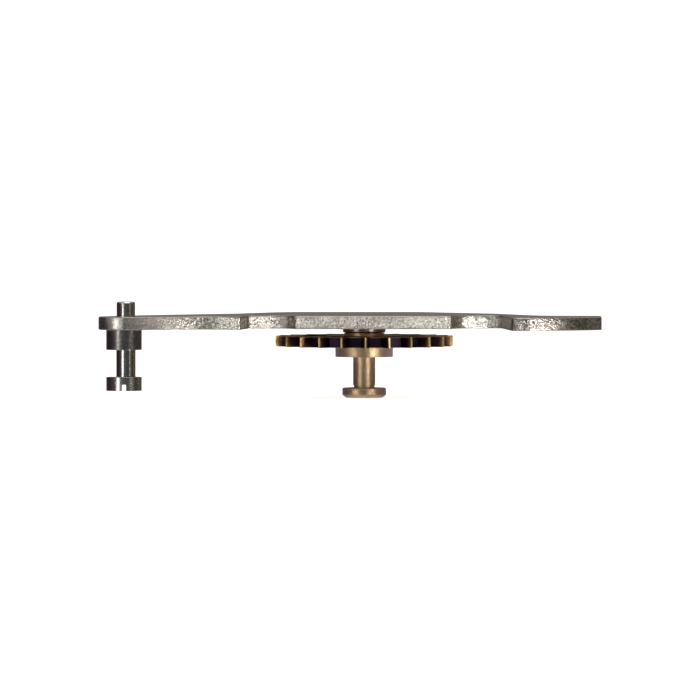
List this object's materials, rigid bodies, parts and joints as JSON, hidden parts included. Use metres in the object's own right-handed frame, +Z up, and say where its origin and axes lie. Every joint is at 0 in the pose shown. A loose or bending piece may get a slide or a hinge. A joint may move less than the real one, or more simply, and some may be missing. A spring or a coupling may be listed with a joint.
{
  "type": "mounted chronograph lever",
  "caption": "Steel lever of a chronograph wrist watch that turns on an eccentric stud and carries a pointed-tooth brass wheel on a grooved hub.",
  "frame": {"origin": "on the axis of the eccentric stud's two round lands, level with the lever's underside", "axes": "+X along the lever from the stud to the tail, -Y towards the front edge that the picture shows, +Z up through the pivot pin"},
  "size_m": [0.013, 0.0065, 0.0025],
  "materials": {
    "lever_steel": "stamped plate, grained edges and straight-grained top",
    "stud_steel": "turned and polished",
    "washer_steel": "darkened, satin",
    "wheel_brass": "cut teeth, circular-grained faces",
    "hub_brass": "turned, satin",
    "screw_steel": "polished"
  },
  "bodies": {
    "stud": {"eccentric_stud": "stud_steel"},
    "lever_arm": {"lever": "lever_steel", "spacer_washer": "washer_steel", "shoulder_screw": "screw_steel"},
    "wheel": {"minute_wheel": "wheel_brass", "wheel_hub": "hub_brass"}
  },
  "joints": [
    {"name": "lever_pivot", "type": "hinge", "parent": "stud", "child": "lever_arm", "pos_m": [0.00005, 0, 0], "axis": [0, 0, 1], "continuous": true},
    {"name": "wheel_spin", "type": "hinge", "parent": "lever_arm", "child": "wheel", "pos_m": [0.00621, 0.00258, -0.0006], "axis": [0, 0, 1], "continuous": true}
  ]
}
